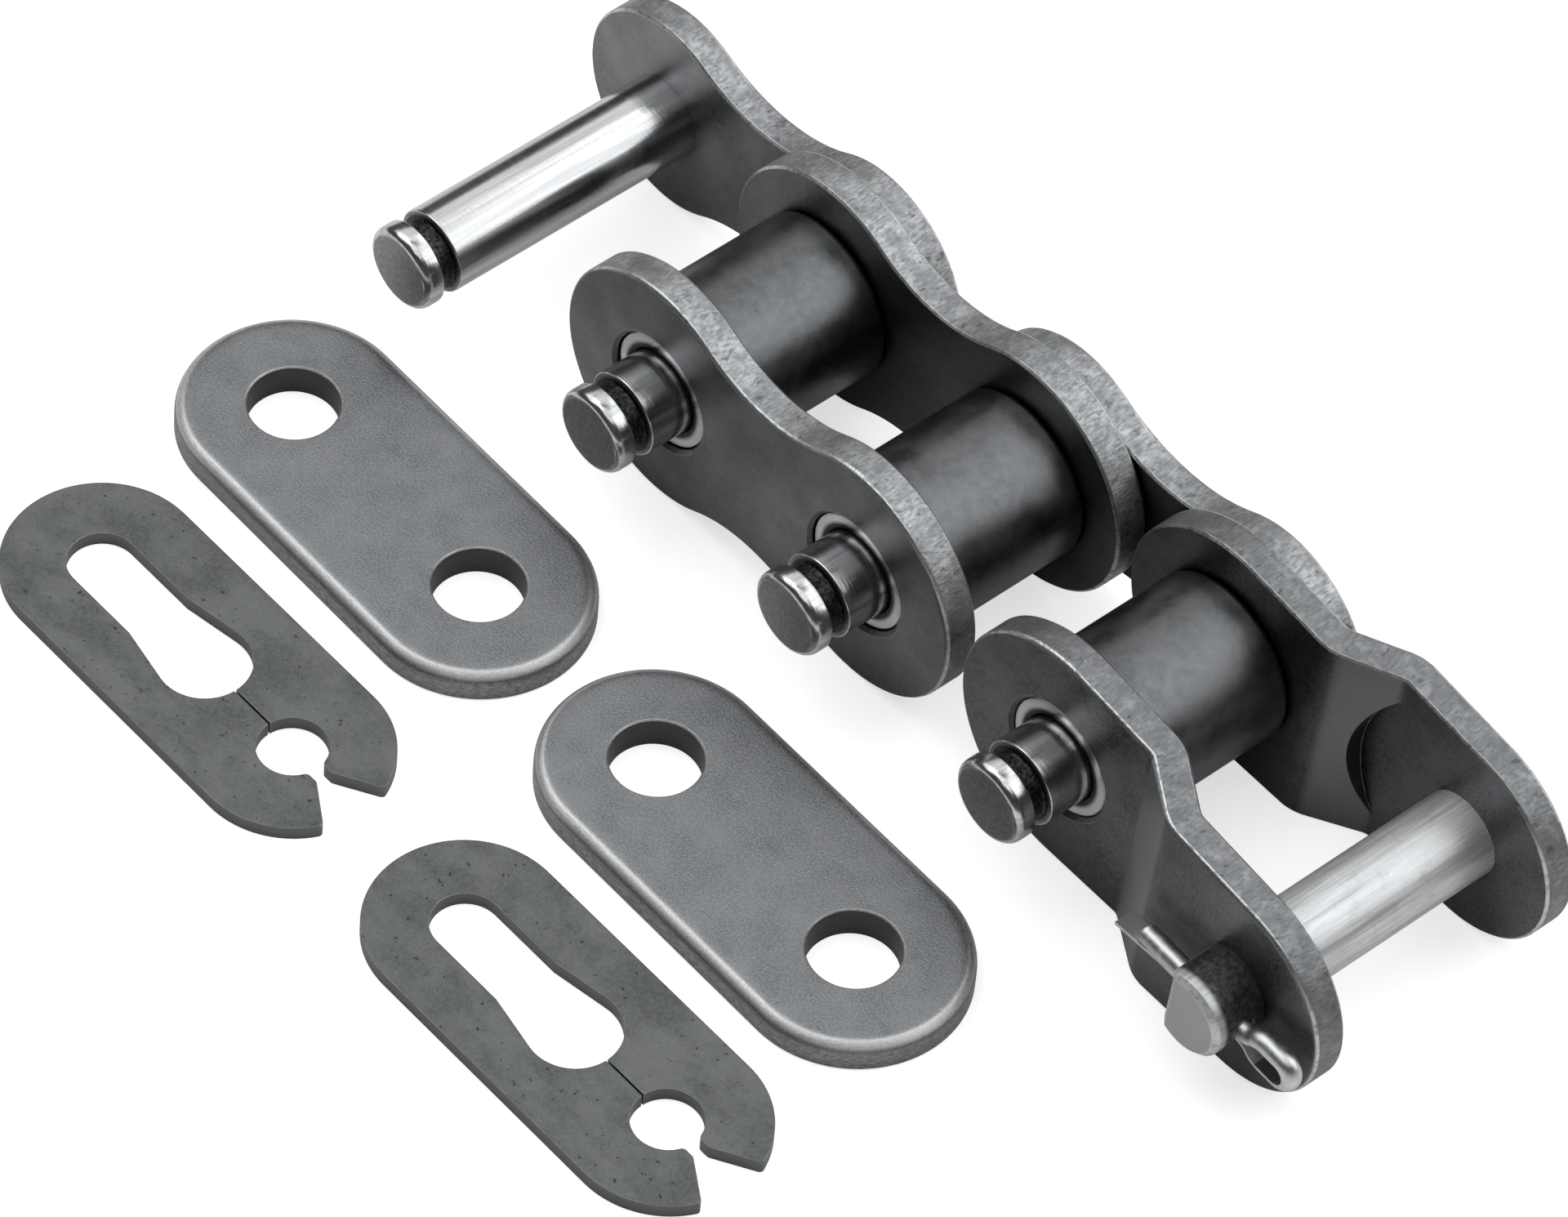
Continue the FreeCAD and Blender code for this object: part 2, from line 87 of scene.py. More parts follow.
def grain(tree, size_mm, contrast=(0.3, 0.7), stretch=(1, 1, 1), detail=3.0):
    """Noise with lumps of about size_mm, spread from 0 to 1 over its contrast."""
    where = add(tree, "ShaderNodeTexCoord", output="Object")
    scaled = add(tree, "ShaderNodeMapping",
                 {"Vector": where, "Scale": [s / (size_mm * MM) for s in stretch]}, "Vector")
    noise = add(tree, "ShaderNodeTexNoise",
                {"Vector": scaled, "Scale": 1.0, "Detail": detail, "Roughness": 0.6}, "Fac")
    return add(tree, "ShaderNodeMapRange",
               {"Value": noise, "From Min": contrast[0], "From Max": contrast[1]}, "Result",
               interpolation_type="SMOOTHSTEP")


def overlap(tree, *masks):
    """Where all the masks are 1. A plain number among them makes them fainter."""
    shared = masks[0]
    for mask in masks[1:]:
        shared = add(tree, "ShaderNodeMath", {0: shared, 1: mask}, "Value",
                     operation="MULTIPLY")
    return shared


def coats(tree, base, *layers):
    """Lays colours or numbers over a base, one after another.

    A layer is the masks that it shows through, and then its colour or its number.
    """
    for *masks, top in layers:
        shown = overlap(tree, *masks)
        if isinstance(base, str) or getattr(base, "type", "") == "RGBA":
            base = add(tree, "ShaderNodeMix", {0: shown, 6: base, 7: top}, 2,
                       data_type="RGBA")
        else:
            base = add(tree, "ShaderNodeMix", {0: shown, 2: base, 3: top}, 0,
                       data_type="FLOAT")
    return base


def centre(name):
    """The middle of a CAD piece's box."""
    low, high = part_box(name)
    return (low + high) / 2


def facing(tree, axis, low, high):
    """0 to 1 as the surface turns toward an axis, from cosine low to cosine high."""
    where = add(tree, "ShaderNodeTexCoord", output="Normal")
    part = add(tree, "ShaderNodeSeparateXYZ", {"Vector": where}, axis)
    size = add(tree, "ShaderNodeMath", {0: part}, "Value", operation="ABSOLUTE")
    return add(tree, "ShaderNodeMapRange",
               {"Value": size, "From Min": low, "From Max": high}, "Result",
               interpolation_type="SMOOTHSTEP")


def corners(tree, radius_mm):
    """The normal of corners rounded this much, and where they are, from 0 to 1."""
    soft = add(tree, "ShaderNodeBevel", {"Radius": radius_mm * MM}, "Normal", samples=4)
    hard = add(tree, "ShaderNodeNewGeometry", output="Normal")
    match = add(tree, "ShaderNodeVectorMath", {0: soft, 1: hard}, "Value",
                operation="DOT_PRODUCT")
    return soft, add(tree, "ShaderNodeMapRange",
                     {"Value": match, "From Min": 0.99, "From Max": 0.88}, "Result",
                     interpolation_type="SMOOTHSTEP")


def metal(tree, colour, roughness, height, relief_mm, normal=None, metallic=1.0):
    """The bare metal: its tint and polish come as sockets, its fine relief as a height."""
    bump = add(tree, "ShaderNodeBump", {"Height": height, "Distance": relief_mm * MM})
    if normal:
        tree.links.new(normal, bump.inputs["Normal"])
    steel = add(tree, "ShaderNodeBsdfPrincipled",
                {"Base Color": colour, "Roughness": roughness, "Metallic": metallic,
                 "Normal": bump.outputs["Normal"]}, "BSDF")
    add(tree, "ShaderNodeOutputMaterial", {"Surface": steel})


# Within this distance another piece casts painted shade on a face, darkening its colour.
SHADE_REACH_MM = 16

# The pin holes of the chain lie a pitch apart along X.
FIRST_BUSH = centre("bush_1")
PITCH = centre("bush_2").x - FIRST_BUSH.x


def toward_hole(tree):
    """1 where a wall faces the nearest pin hole of the chain, and 0 on an outline."""
    place = add(tree, "ShaderNodeTexCoord").outputs
    local = add(tree, "ShaderNodeVectorMath", {0: place["Object"], 1: FIRST_BUSH}, 0,
                operation="SUBTRACT")
    local = add(tree, "ShaderNodeSeparateXYZ", {"Vector": local}).outputs
    steps = add(tree, "ShaderNodeMath", {0: local["X"], 1: PITCH}, 0, operation="DIVIDE")
    steps = add(tree, "ShaderNodeMath", {0: steps}, 0, operation="ROUND")
    along_x = add(tree, "ShaderNodeMath", {0: steps, 1: -PITCH, 2: local["X"]}, 0,
                  operation="MULTIPLY_ADD")
    away = add(tree, "ShaderNodeCombineXYZ", {"X": along_x, "Z": local["Z"]}, 0)
    match = add(tree, "ShaderNodeVectorMath", {0: away, 1: place["Normal"]}, "Value",
                operation="DOT_PRODUCT")
    return add(tree, "ShaderNodeMapRange", {"Value": match, "From Min": 0, "From Max": -MM},
               "Result", interpolation_type="SMOOTHSTEP")


def punched(name, dark_face, light_face, dark_side, light_side, shaded_bore, rubbing):
    """Strip steel with oiled oxide on its faces and bare, crystalline sheared sides.

    The oxide is smeared from dark to light and finely speckled by the rolling mill, and
    painted shade darkens it where other pieces are near. The sides glint with torn
    crystals, are dull where the punch left pits, and are bright where they have been
    rubbed. Walls that face a pin hole are painted dark as shade, and the rims are
    painted bright, partly as wear and partly as a highlight.
    """
    material, tree = blank(name)
    smear = grain(tree, 5.0, (0.35, 0.65), detail=6.0)
    mill = grain(tree, 0.3, detail=2.0)
    scratch = grain(tree, 0.3, (0.66, 0.76), (0.07, 1, 1), 2.0)
    # The slopes between two bends face partly along X, and are painted lighter there as a
    # sheen.
    slope_sheen = facing(tree, "X", 0.3, 0.5)
    # Painted shade: where other pieces are near, the face colour goes to near black.
    openness = add(tree, "ShaderNodeAmbientOcclusion", {"Distance": SHADE_REACH_MM * MM}, "AO",
                   samples=6)
    painted_shade = add(tree, "ShaderNodeMapRange",
                    {"Value": openness, "From Min": 0.56, "From Max": 0.32}, "Result",
                    interpolation_type="SMOOTHSTEP")
    oxide = coats(tree, dark_face, (smear, light_face), (mill, 0.5, "8f9193"),
                  (scratch, 0.3, "b6b8ba"), (slope_sheen, 0.6, "b0b2b4"),
                  (painted_shade, "111213"))

    crystal = grain(tree, 0.26, (0.27, 0.73), (1, 0.35, 1), 5.0)
    burnish = grain(tree, 1.4, (0.5, 0.75), detail=4.0)
    cloud = grain(tree, 2.2, (0.35, 0.65))
    pit = grain(tree, 0.7, (0.6, 0.7), (1, 0.6, 1), 3.0)
    torn = coats(tree, dark_side, (crystal, light_side), (cloud, 0.7, dark_side),
                 (burnish, rubbing, "d0d2d4"), (pit, 0.6, "4a4c4e"))

    side = facing(tree, "Y", 0.8, 0.5)
    hole = toward_hole(tree)
    outline = add(tree, "ShaderNodeMath", {0: 1.0, 1: hole}, 0, operation="SUBTRACT")
    rounded, edge_highlight = corners(tree, radius_mm=0.14)
    # The rounded rims slant between face and side. They and the sharp edges are painted
    # bright, partly as wear and partly as a highlight, and the paint is broken into chips.
    rim = overlap(tree, facing(tree, "Y", 0.15, 0.4), facing(tree, "Y", 0.84, 0.74))
    edge = add(tree, "ShaderNodeMath", {0: rim, 1: edge_highlight}, 0, operation="MAXIMUM")
    chip = grain(tree, 0.6, (0.378, 0.522), detail=3.0)
    worn_rim_highlight = overlap(tree, edge, coats(tree, 0.35, (chip, 1.0)))
    # Walls that face a pin hole take the shaded bore colour, a painted shade.
    skin = coats(tree, oxide, (side, torn), (worn_rim_highlight, outline, "cccecf"), (side, hole, shaded_bore))
    polish = coats(tree, 0.34, (mill, 0.42), (side, coats(tree, 0.58, (crystal, 0.46))),
                   (worn_rim_highlight, 0.34))
    relief = coats(tree, overlap(tree, mill, 0.12), (side, crystal))
    metal(tree, skin, polish, relief, relief_mm=0.016, normal=rounded)
    return material


plate_steel = punched("punched_strip_steel_oiled_oxide", dark_face="6a6c6e",
                      light_face="848688", dark_side="848688", light_side="bec0c2",
                      shaded_bore="1c1d1e", rubbing=0.45)


def finish(material, *names):
    """Gives CAD pieces their material."""
    for name in names:
        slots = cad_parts[name].data.materials
        slots.clear()
        slots.append(material)


finish(plate_steel, "inner_plate_front", "inner_plate_back")


# Bushes: turned from steel tube, hardened and pressed in the inner and cranked plates.
# The pins pass through them with a running fit.

# Turned parts are an outline spun round a hoop. The hoop's radius is taken off the
# outline's, so any will do.
HOOP_R = 1.0 * MM
ROUNDING_STEPS = 5
WELD = 0.002 * MM
turning = bpy.data.node_groups.new("turned_part", "GeometryNodeTree")
for socket, kind in (("Outline", "Geometry"), ("First Place", "Vector"), ("Step", "Vector"),
                     ("Count", "Int"), ("Facets", "Int"), ("Finish", "Material")):
    turning.interface.new_socket(socket, in_out="INPUT", socket_type="NodeSocket" + kind)
turning.interface.new_socket("Piece", in_out="OUTPUT", socket_type="NodeSocketGeometry")

# The outline's corners are rounded, and the hoop is turned about the pin axis.
given = add(turning, "NodeGroupInput").outputs
rounding = add(turning, "GeometryNodeInputNamedAttribute", {"Name": "round"}, "Attribute",
               data_type="FLOAT")
outline = add(turning, "GeometryNodeMeshToCurve", {"Mesh": given["Outline"]}, "Curve")
eased = add(turning, "GeometryNodeFilletCurve",
            {"Curve": outline, "Count": ROUNDING_STEPS, "Radius": rounding,
             "Limit Radius": True}, "Curve", mode="POLY")
hoop = add(turning, "GeometryNodeCurvePrimitiveCircle",
           {"Resolution": given["Facets"], "Radius": HOOP_R}, "Curve")
spun = add(turning, "GeometryNodeCurveToMesh", {"Curve": hoop, "Profile Curve": eased},
           "Mesh")
lying = add(turning, "GeometryNodeTransform",
            {"Geometry": spun, "Rotation": (math.pi / 2, 0, 0)}, "Geometry")
closed = add(turning, "GeometryNodeMergeByDistance", {"Geometry": lying, "Distance": WELD},
             "Geometry")

# One copy stands at each step along the chain.
row = add(turning, "GeometryNodeMeshLine",
          {"Count": given["Count"], "Start Location": given["First Place"],
           "Offset": given["Step"]}, "Mesh")
copies = add(turning, "GeometryNodeInstanceOnPoints", {"Points": row, "Instance": closed},
             "Instances")
real = add(turning, "GeometryNodeRealizeInstances", {"Geometry": copies}, "Geometry")
coated = add(turning, "GeometryNodeSetMaterial",
             {"Geometry": real, "Material": given["Finish"]}, "Geometry")
add(turning, "NodeGroupOutput", {"Piece": coated})


def turn(name, section, first, step, count, material, facets=128):
    """Makes turned parts as one plain mesh.

    The section has a row for each corner: its radius, how far along it is, its
    rounding, all in mm, and how dark it is painted: black scale in the pin groove,
    painted shade at the bush mouths. It is closed on the inside, unless it starts on
    the axis.
    """
    radii, places, roundings, scale_and_shade = zip(*section)
    points = [(radius * MM - HOOP_R, along * MM, 0) for radius, along in zip(radii, places)]
    edges = [(i, i + 1) for i in range(len(points) - 1)]
    if radii[0] > 0:
        edges.append((len(points) - 1, 0))
    mesh = bpy.data.meshes.new(name)
    mesh.from_pydata(points, edges, [])
    mesh.attributes.new("round", "FLOAT", "POINT").data.foreach_set(
        "value", [rounding * MM for rounding in roundings])
    mesh.attributes.new("oxide", "FLOAT", "POINT").data.foreach_set("value", scale_and_shade)
    piece = bpy.data.objects.new(name, mesh)
    bpy.context.scene.collection.objects.link(piece)
    lathe = piece.modifiers.new("turning", "NODES")
    lathe.node_group = turning
    settings = {"First Place": first, "Step": step, "Count": count, "Facets": facets,
                "Finish": material}
    for socket in turning.interface.items_tree:
        if socket.name in settings:
            lathe[socket.identifier] = settings[socket.name]

    ready = piece.evaluated_get(bpy.context.evaluated_depsgraph_get())
    spun_mesh = bpy.data.meshes.new_from_object(ready)
    piece.modifiers.clear()
    piece.data = spun_mesh

    # Spinning can turn a shape inside out, so its faces are pointed outwards again.
    shell = bmesh.new()
    shell.from_mesh(spun_mesh)
    bmesh.ops.recalc_face_normals(shell, faces=shell.faces)
    shell.to_mesh(spun_mesh)
    shell.free()
    spun_mesh.shade_smooth()
    piece.modifiers.new("flat ends stay flat", "WEIGHTED_NORMAL")
    return piece


# Fine lathe lines run round the tube and its ends are rubbed bright. The mouths of its bore
# are painted dark as shade.
satin_steel, tree = blank("turned_hardened_steel_satin")
lines = grain(tree, 0.2, stretch=(0.1, 1, 0.1), detail=2.0)
end = facing(tree, "Y", 0.9, 0.995)
# Painted shade: the corners of the bore are darkened to near black.
mouth_shade = add(tree, "ShaderNodeAttribute", output="Fac", attribute_name="oxide")
mouth_shade = add(tree, "ShaderNodeMapRange", {"Value": mouth_shade, "From Min": 0.4, "From Max": 0.9},
            "Result", interpolation_type="SMOOTHSTEP")
skin = coats(tree, "a2a4a6", (lines, "bcbec0"), (end, "d8dadb"), (mouth_shade, "1e1f20"))
metal(tree, skin, coats(tree, 0.26, (lines, 0.36)), lines, relief_mm=0.003)


def tube_outline(name, bore_r, outer_round, bore_round, mouth_shade):
    """Half the section of a tube, as long and as wide as its CAD piece."""
    low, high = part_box(name)
    outside_r = (high.x - low.x) / 2 / MM
    half = (high.y - low.y) / 2 / MM
    return [(bore_r, -half, bore_round, mouth_shade), (outside_r, -half, outer_round, 0),
            (outside_r, half, outer_round, 0), (bore_r, half, bore_round, mouth_shade)]


# Sizes in mm.
PIN_R = 3.97
PIN_PLAY = 0.04
BUSH_BORE_R = PIN_R + PIN_PLAY
BUSH_ROUND = 0.3
MOUTH_ROUND = 0.28
bush = tube_outline("bush_1", BUSH_BORE_R, BUSH_ROUND, MOUTH_ROUND, 1)
link_step = centre("bush_2") - centre("bush_1")
pressed = turn("pressed_bushes", bush, centre("bush_1"), link_step, 2, satin_steel)
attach(pressed, "inner_link")
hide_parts("bush_1", "bush_2")
last_bush = turn("offset_link_bush", bush, centre("bush_3"), (0, 0, 0), 1, satin_steel)
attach(last_bush, "offset_link")
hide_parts("bush_3")


# Rollers: case-hardened sleeves that turn on the bushes, smooth and dark from oil quenching.
# Their rims are rounded so that they roll clear of the plates.

# Quench oil leaves soft clouds and a few dark pits in an even half-matt black.
roller_steel, tree = blank("case_hardened_steel_oil_black")
cloud = grain(tree, 3.5, detail=5.0)
haze = grain(tree, 0.9, (0.3, 0.75), detail=4.0)
pit = grain(tree, 0.5, (0.7, 0.8), detail=2.0)
skin = coats(tree, "5c5e60", (cloud, "6e7072"), (haze, 0.4, "7e8082"), (pit, 0.7, "3c3d3f"))
metal(tree, skin, coats(tree, 0.3, (cloud, 0.4)), haze, relief_mm=0.004)

ROLLER_BORE_R = 5.71
ROLLER_ROUND = 0.6
ROLLER_MOUTH_ROUND = 0.3
roller = tube_outline("roller_1", ROLLER_BORE_R, ROLLER_ROUND, ROLLER_MOUTH_ROUND, 0)
for body in ("roller_1", "roller_2", "roller_3"):
    sleeve = turn(body + "_sleeve", roller, centre(body), (0, 0, 0), 1, roller_steel)
    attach(sleeve, body)
    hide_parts(body)


# Outer plates of the two connecting links: the same punched strip as the inner plates.
# They are pressed and riveted on the shouldered ends of the pins.

finish(plate_steel, "link_1_outer_plate", "link_2_outer_plate")


# Clip pins: hardened alloy steel, ground smooth and riveted in the outer plates behind.
# A groove for the spring clip leaves a short round-shouldered head in front.

# Grinding leaves a bright shank with fine rings; the faint light bands along it are painted
# reflections. The head's end is a dull grey, and the clip groove keeps its black scale.
pin_steel, tree = blank("ground_alloy_steel_satin")
rings = grain(tree, 0.16, stretch=(0.06, 1, 0.06), detail=2.0)
# Painted reflection: light bands along the shank.
lengthwise_bands = grain(tree, 0.7, (0.3, 0.7), (1, 0.04, 1), 4.0)
spot = grain(tree, 0.8, (0.68, 0.8), detail=4.0)
mottle = grain(tree, 0.35, detail=3.0)
end = facing(tree, "Y", 0.93, 0.995)
oxide = add(tree, "ShaderNodeAttribute", output="Fac", attribute_name="oxide")
scale = add(tree, "ShaderNodeMapRange", {"Value": oxide, "From Min": 0.2, "From Max": 0.9},
            "Result", interpolation_type="SMOOTHSTEP")
skin = coats(tree, "b4b6b8", (lengthwise_bands, "dadbdc"), (spot, 0.35, "8c8e90"),
             (end, coats(tree, "848688", (mottle, "9c9ea0"))),
             (scale, coats(tree, "161718", (mottle, "4c4d4f"))))
polish = coats(tree, 0.17, (rings, 0.24), (end, 0.42), (oxide, 0.45))
relief = coats(tree, overlap(tree, rings, 0.1), (oxide, mottle))
metal(tree, skin, polish, relief, relief_mm=0.02)

# Sizes in mm.
GROOVE_R = 3.05
GROOVE_W = 1.75
HEAD_L = 1.95
HEAD_ROUND = 0.8
RIM_ROUND = 0.15
GROOVE_FLOOR_ROUND = 0.25
SHOULDER = 0.3
TENON_R = PIN_R - SHOULDER
RIVET_L = 0.95
RIVET_R = 4.22
RIVET_ROUND = 0.6
RIVET_FOOT_ROUND = 0.1
pin_low, pin_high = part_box("link_1_free_pin")
pin_front = pin_low.y / MM
pin_back = pin_high.y / MM
plate_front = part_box("link_1_outer_plate")[0].y / MM
head_back = pin_front + HEAD_L
groove_back = head_back + GROOVE_W
clip_pin = [
    (0, pin_front, 0, 0),
    (PIN_R, pin_front, HEAD_ROUND, 0),
    (PIN_R, head_back, RIM_ROUND, 0),
    (GROOVE_R, head_back, GROOVE_FLOOR_ROUND, 1),
    (GROOVE_R, groove_back, GROOVE_FLOOR_ROUND, 1),
    (PIN_R, groove_back, RIM_ROUND, 0),
    (PIN_R, plate_front, 0, 0),
    (TENON_R, plate_front, 0, 0),
    (TENON_R, pin_back - RIVET_L, 0, 0),
    (RIVET_R, pin_back - RIVET_L, RIVET_FOOT_ROUND, 0),
    (RIVET_R, pin_back, RIVET_ROUND, 0),
    (0, pin_back, 0, 0),
]
for link, first, second in (("connecting_link_1", "link_1_free_pin", "link_1_seated_pin"),
                            ("connecting_link_2", "link_2_pin_1", "link_2_pin_2")):
    start = centre(first)
    stride = centre(second) - start
    # The section already has its place along Y.
    start.y = 0
    pair = turn(link + "_pins", clip_pin, start, stride, 2, pin_steel)
    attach(pair, link)
    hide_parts(first, second)


# Offset link: two plates cranked in a press, narrow ends inside and wide ends outside.
# They are punched strip as the straight plates are, but more oiled, with finer sides.

crank_steel = punched("cranked_strip_steel_oiled_oxide", dark_face="555658",
                      light_face="6e7072", dark_side="747678", light_side="929496",
                      shaded_bore="48494b", rubbing=0.25)
finish(crank_steel, "offset_plate_front", "offset_plate_back")


# Offset pin: drawn steel bar, flattened on one side so that it can't turn in its plate.
# A split pin through its front end keeps it in.

# Drawing leaves streaks along the shank, and handling dulls it in small blotches. Its skin is
# frosted and scatters part of the light, so it is given as less than wholly metal.
FROSTED_METAL = 0.6
offset_steel, tree = blank("drawn_steel_satin")
streak = grain(tree, 0.22, stretch=(1, 0.04, 1))
lengthwise_bands = grain(tree, 0.9, (0.5, 0.66), (1, 0.03, 1), 4.0)
blotch = grain(tree, 1.2, (0.5, 0.8), detail=4.0)
end = facing(tree, "Y", 0.9, 0.98)
rounded, edge_highlight = corners(tree, radius_mm=0.25)

# The neck keeps its dark scale, from just behind the bare tip to just inside the plate.
SCALE_STARTS = (0.9, 1.5)
SCALE_ENDS = (1.5, 1.0)


def along(tree, axis, start, low_mm, high_mm):
    """0 to 1 as a place goes from one distance past the start to another."""
    where = add(tree, "ShaderNodeTexCoord", output="Object")
    where = add(tree, "ShaderNodeSeparateXYZ", {"Vector": where}, axis)
    return add(tree, "ShaderNodeMapRange",
               {"Value": where, "From Min": start + low_mm * MM,
                "From Max": start + high_mm * MM}, "Result",
               interpolation_type="SMOOTHSTEP")


neck = overlap(tree, along(tree, "Y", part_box("offset_pin")[0].y, *SCALE_STARTS),
               along(tree, "Y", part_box("offset_plate_front")[0].y, *SCALE_ENDS))
scale = coats(tree, "2a2b2d", (grain(tree, 0.5, detail=4.0), "58595b"))
# The rounded edges are painted brighter, as a highlight.
skin = coats(tree, "c8cacc", (streak, "e2e4e6"), (lengthwise_bands, 0.5, "8e9092"),
             (blotch, 0.4, "9a9c9e"), (neck, scale), (end, "b0b2b4"), (edge_highlight, "dcddde"))
polish = coats(tree, 0.38, (streak, 0.46), (end, 0.42))
metal(tree, skin, polish, streak, relief_mm=0.001, normal=rounded, metallic=FROSTED_METAL)
finish(offset_steel, "offset_pin")


# Split pin: half-round steel wire folded over itself, its eye left round.
# Its legs are pushed through the offset pin and one is bent aside.

# The rolled flat is dull and the drawn round side is bright. Where the wire is folded
# together, only its flats are level at or below the fold.
FLAT_FADE = (0.3, 0.15)
wire_steel, tree = blank("drawn_half_round_steel_wire")
dirt = grain(tree, 0.7, detail=4.0)
rounded, edge_highlight = corners(tree, radius_mm=0.1)
flat = overlap(tree, facing(tree, "Z", 0.95, 0.98),
               along(tree, "Z", centre("offset_pin").z, *FLAT_FADE))
# The wire's edges are painted brighter, as a highlight.
skin = coats(tree, "c0c2c4", (dirt, "d8dadb"), (flat, "7a7c7e"), (edge_highlight, "ecedee"))
metal(tree, skin, coats(tree, 0.34, (dirt, 0.44)), dirt, relief_mm=0.003, normal=rounded)
finish(wire_steel, "split_pin")


# Cover plates: the loose front plates, hardened and tumbled to an even matt grey.
# Their upper edge is rounded over by the punch, rubbed, and painted bright as a highlight.

# Tumbling leaves a fine peppery grain with a few faint dull patches and dark flecks.
tumbled_steel, tree = blank("tumbled_hardened_steel")
fine = grain(tree, 0.19, (0.33, 0.67), detail=3.0)
cloud = grain(tree, 3.2, (0.3, 0.7), detail=5.0)
patch = grain(tree, 5.0, (0.62, 0.8), detail=4.0)
fleck = grain(tree, 0.5, (0.7, 0.8), detail=2.0)
roll = overlap(tree, facing(tree, "Z", 0.3, 0.6), facing(tree, "Z", 0.9998, 0.9))
wall = facing(tree, "Z", 0.3, 0.1)
streak = grain(tree, 0.5, stretch=(1, 1, 4), detail=4.0)

# Both bores lie in a zone round the middle of each plate, well inside its outer wall. Their
# walls are painted darker than the sheared one outside, as shade, and their mouths are crisp,
# where the rolled edge of the plate blends softly into the flat.
BORES_ALONG = (19, 18)
BORES_ACROSS = (6.5, 6)
CROWN_MM = 1.3
shaded_bore = 0.0
for plate in ("cover_plate_1", "cover_plate_2"):
    zone = []
    for axis, at, (end, full) in (("X", centre(plate).x, BORES_ALONG),
                                  ("Y", centre(plate).y, BORES_ACROSS)):
        zone += [along(tree, axis, at, -end, -full), along(tree, axis, at, end, full)]
    shaded_bore = coats(tree, shaded_bore, (*zone, 1.0))
crisp, edge_highlight = corners(tree, radius_mm=0.1)
crown = corners(tree, CROWN_MM)[0]
rounded = add(tree, "ShaderNodeMix", {0: shaded_bore, 4: crown, 5: crisp}, 1, data_type="VECTOR")

sheared = coats(tree, "66686a", (streak, "a0a2a4"))
# The rolled edge is painted near white and the crisp edges lighter, as highlights over some
# rubbing.
skin = coats(tree, "696b6d", (cloud, "7b7d7f"), (fine, 0.75, "949698"),
             (patch, 0.6, "626466"), (fleck, 0.5, "505254"),
             (roll, coats(tree, 0.75, (fine, 1.0)), "e0e1e2"),
             (wall, coats(tree, sheared, (shaded_bore, "4c4d4f"))), (edge_highlight, 0.4, "b0b2b4"))
polish = coats(tree, 0.36, (fine, 0.44), (roll, 0.4))
metal(tree, skin, polish, fine, relief_mm=0.012, normal=rounded)
finish(tumbled_steel, "cover_plate_1", "cover_plate_2")


# Spring clips: blanked from flat spring strip and tempered. They lie loose here, and snap
# into the pin grooves over the cover plates.

# Tempering leaves a cloudy dull grey with small dark stains, the blanked rim is bare, and
# its sharp edges are painted bright as a highlight.
spring_steel, tree = blank("tempered_spring_strip")
stain = grain(tree, 4.5, (0.35, 0.65), (0.7, 1, 1), 5.0)
fine = grain(tree, 0.3, (0.3, 0.7))
spot = grain(tree, 0.6, (0.66, 0.72), detail=2.0)
rounded, edge_highlight = corners(tree, radius_mm=0.12)
skin = coats(tree, "555758", (stain, "6c6e6f"), (fine, 0.35, "7c7e7f"), (spot, 0.8, "303132"),
             (facing(tree, "Z", 0.6, 0.2), "6a6c6d"),
             (edge_highlight, coats(tree, 0.6, (fine, 1.0)), "b8babb"))
metal(tree, skin, coats(tree, 0.36, (stain, 0.44)), fine, relief_mm=0.003, normal=rounded)
finish(spring_steel, "spring_clip_1", "spring_clip_2")


# Floor: a wide sheet of white paper under the set. It carries the shadows.
# What the camera sees of it is lifted to white, and bare metal mirrors a little of that lift.

# Half the sheet's width, in metres.
FLOOR_HALF = 4.0
ground = min(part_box(name)[0].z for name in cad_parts)
sheet = bpy.data.meshes.new("paper_floor")
sheet.from_pydata([(-FLOOR_HALF, -FLOOR_HALF, ground), (FLOOR_HALF, -FLOOR_HALF, ground),
                   (FLOOR_HALF, FLOOR_HALF, ground), (-FLOOR_HALF, FLOOR_HALF, ground)],
                  [], [(0, 1, 2, 3)])
floor = bpy.data.objects.new("paper_floor", sheet)
bpy.context.scene.collection.objects.link(floor)
CAMERA_LIFT = 0.65
MIRROR_LIFT = 0.03
paper, tree = blank("white_paper")
path = add(tree, "ShaderNodeLightPath").outputs
mirrored = add(tree, "ShaderNodeMath",
               {0: path["Is Glossy Ray"], 1: path["Is Transmission Ray"]}, 0,
               operation="MAXIMUM")
lift = coats(tree, 0.0, (path["Is Camera Ray"], CAMERA_LIFT), (mirrored, MIRROR_LIFT))
glow = add(tree, "ShaderNodeEmission", {"Color": "ffffff", "Strength": lift}, 0)
matt = add(tree, "ShaderNodeBsdfDiffuse", {"Color": "e7e7e7"}, 0)
both = add(tree, "ShaderNodeAddShader", {0: matt, 1: glow}, 0)
add(tree, "ShaderNodeOutputMaterial", {"Surface": both})
sheet.materials.append(paper)


# Studio: a dim room and four soft boxes: overhead, behind, and two on the left.
# Metal shows the boxes as broad soft highlights, and the dim room between as its dark bands.

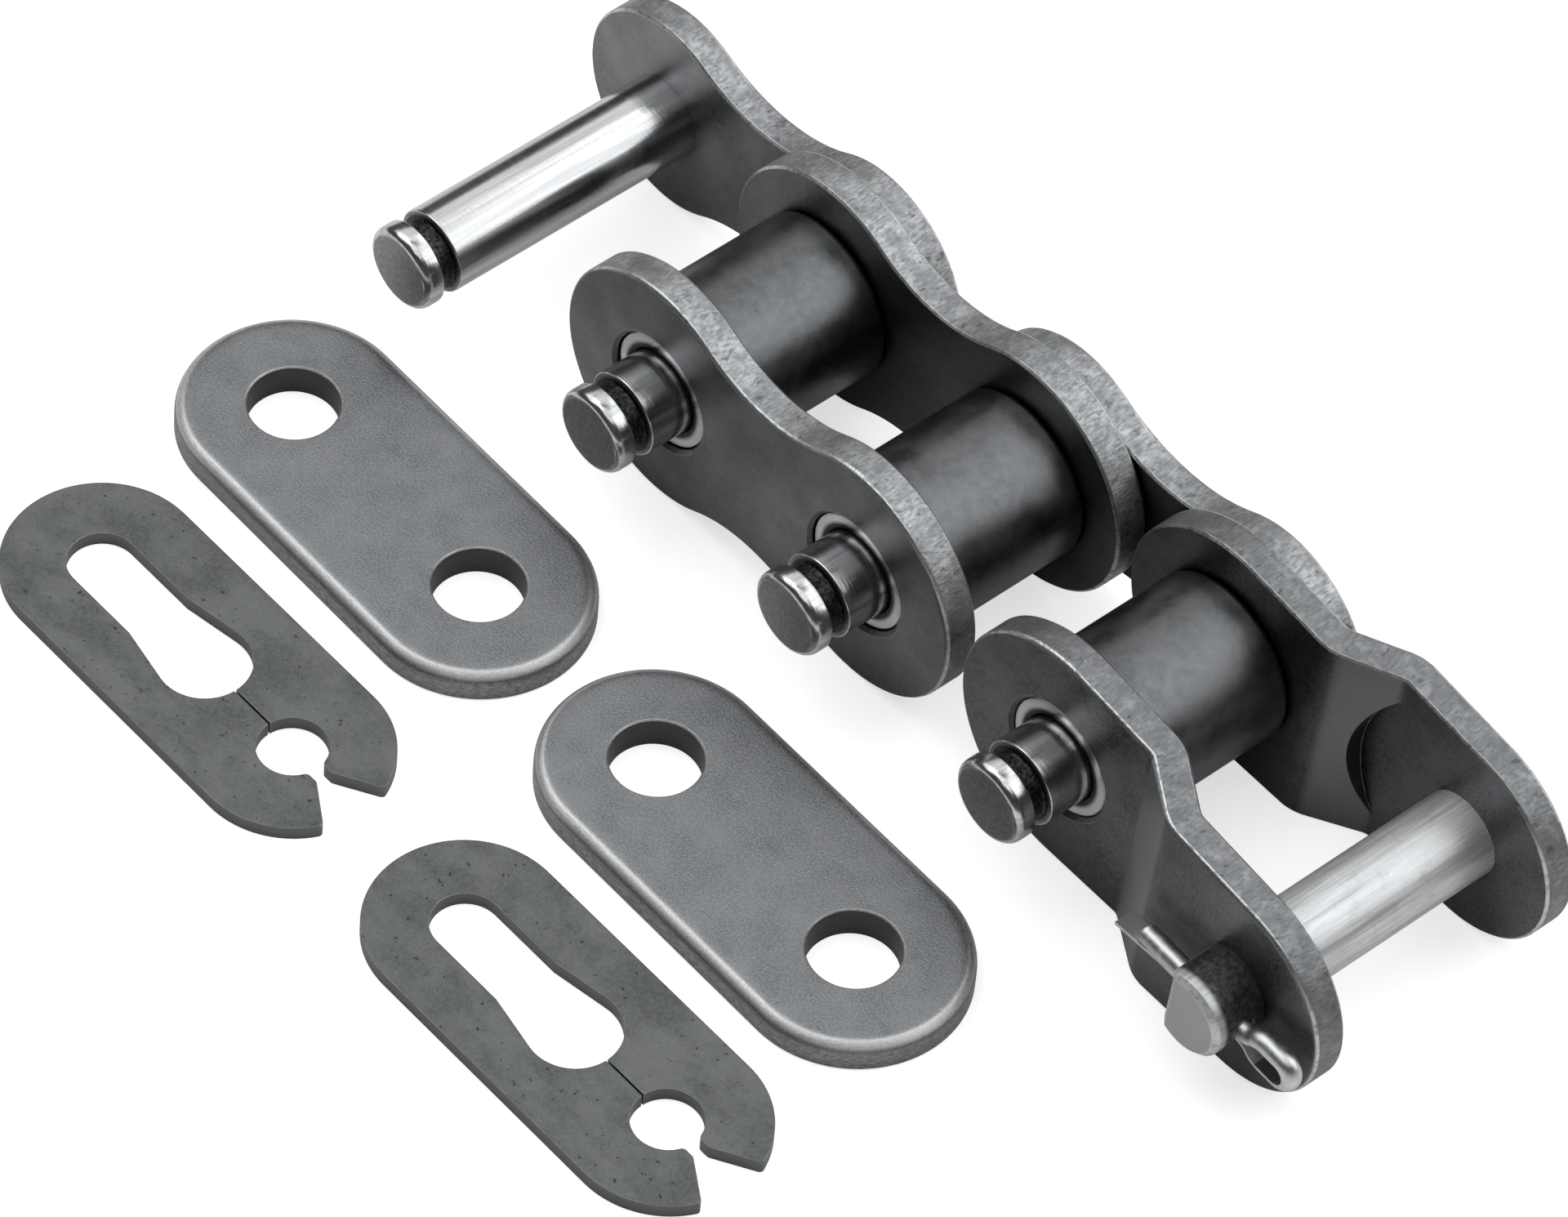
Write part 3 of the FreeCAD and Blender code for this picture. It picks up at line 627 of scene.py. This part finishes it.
middle = Vector((0.050, -0.018, 0.002))
BOX_DISTANCE = 1.0
ROOM_GLOW = 0.06
world = bpy.data.worlds.new("pale_studio")
bpy.context.scene.world = world
world.use_nodes = True
world.node_tree.nodes.clear()
tree = world.node_tree
seen = add(tree, "ShaderNodeLightPath", output="Is Camera Ray")
air = add(tree, "ShaderNodeBackground",
          {"Color": "ffffff", "Strength": coats(tree, ROOM_GLOW, (seen, 1.0))}, 0)
add(tree, "ShaderNodeOutputWorld", {"Surface": air})


def soft_box(name, azimuth, height, width, depth, glow):
    """A lamp that faces the set from an azimuth and height in degrees.

    Its sides are in metres, and a mirror shows it as bright as its glow, where 1 is white.
    """
    toward = Vector((math.cos(math.radians(azimuth)) * math.cos(math.radians(height)),
                     math.sin(math.radians(azimuth)) * math.cos(math.radians(height)),
                     math.sin(math.radians(height))))
    lamp = bpy.data.lights.new(name, "AREA")
    lamp.shape = "RECTANGLE"
    lamp.size = width
    lamp.size_y = depth
    lamp.energy = glow * math.pi * width * depth
    box = bpy.data.objects.new(name, lamp)
    box.location = middle + toward * BOX_DISTANCE
    box.rotation_euler = toward.to_track_quat("Z", "Y").to_euler()
    bpy.context.scene.collection.objects.link(box)


soft_box("overhead_box", -45, 76, 0.9, 0.9, 1.2)
soft_box("front_left_box", 202, 54, 0.8, 0.8, 1.7)
soft_box("back_box", 66, 40, 1.3, 1.0, 1.8)
soft_box("left_box", 146, 50, 0.8, 0.75, 0.9)


# Camera: a long lens from the front left corner of the set, as the photograph has it.

CAMERA_AZIMUTH = -44.77
CAMERA_HEIGHT = 49.76
CAMERA_ROLL = 5.37
CAMERA_DISTANCE = 0.798
LENS_MM = 220.2
target = Vector((0.05005, -0.01821, 0.0017))
around = math.radians(CAMERA_AZIMUTH)
above = math.radians(CAMERA_HEIGHT)
backward = Vector((math.cos(around) * math.cos(above), math.sin(around) * math.cos(above),
                   math.sin(above)))
right = Vector((-math.sin(around), math.cos(around), 0))
up = backward.cross(right)
roll = Matrix.Rotation(math.radians(CAMERA_ROLL), 3, backward)
pose = Matrix((roll @ right, roll @ up, backward)).transposed().to_4x4()
pose.translation = target + backward * CAMERA_DISTANCE
lens = bpy.data.cameras.new("camera")
lens.lens = LENS_MM
lens.clip_start = 0.01
camera = bpy.data.objects.new("camera", lens)
camera.matrix_world = pose
bpy.context.scene.collection.objects.link(camera)
bpy.context.scene.camera = camera
bpy.context.scene.view_settings.view_transform = "Standard"
